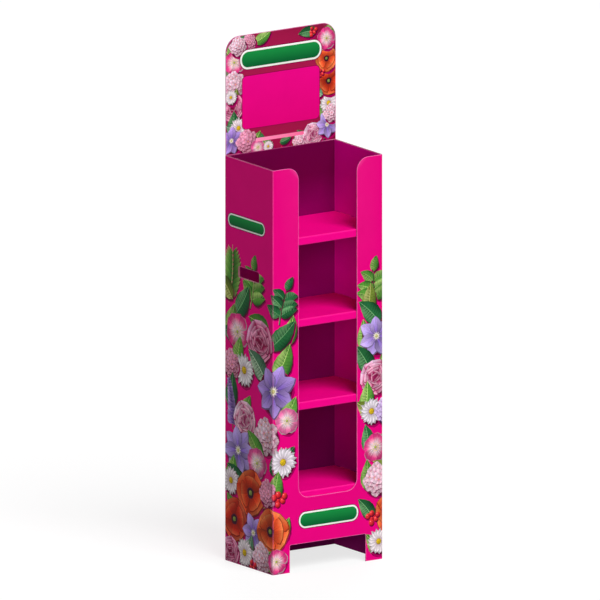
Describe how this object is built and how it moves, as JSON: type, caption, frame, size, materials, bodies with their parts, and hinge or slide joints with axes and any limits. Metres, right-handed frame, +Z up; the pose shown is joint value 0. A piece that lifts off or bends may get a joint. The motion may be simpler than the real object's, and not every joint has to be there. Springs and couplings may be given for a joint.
{
  "type": "cardboard display stand",
  "caption": "Tall narrow floor display of folded corrugated board: windowed front, shelves inside, foot arch, hand hole and header card; magenta with a garden print.",
  "frame": {"origin": "on the floor, under the middle of the stand's outline", "axes": "+Z up, -Y out of the open front, +X to the right seen from the front"},
  "size_m": [0.4, 0.256, 1.61],
  "materials": {
    "printed_wrap": "satin printed corrugated board, magenta with a botanical print low on the sides and flanges",
    "printed_header": "satin printed corrugated board, deep crimson with a magenta panel and a floral border",
    "plain_magenta_liner": "satin, plain magenta inside, unprinted board outside",
    "plain_magenta_shelf": "satin, plain magenta above and in front, unprinted board below"
  },
  "bodies": {
    "root": {"outer_shell": "printed_wrap", "inner_liner": "plain_magenta_liner", "top_shelf": "plain_magenta_shelf", "middle_shelf": "plain_magenta_shelf", "lower_shelf": "plain_magenta_shelf", "base_deck": "plain_magenta_shelf", "header_card": "printed_header"}
  },
  "joints": []
}
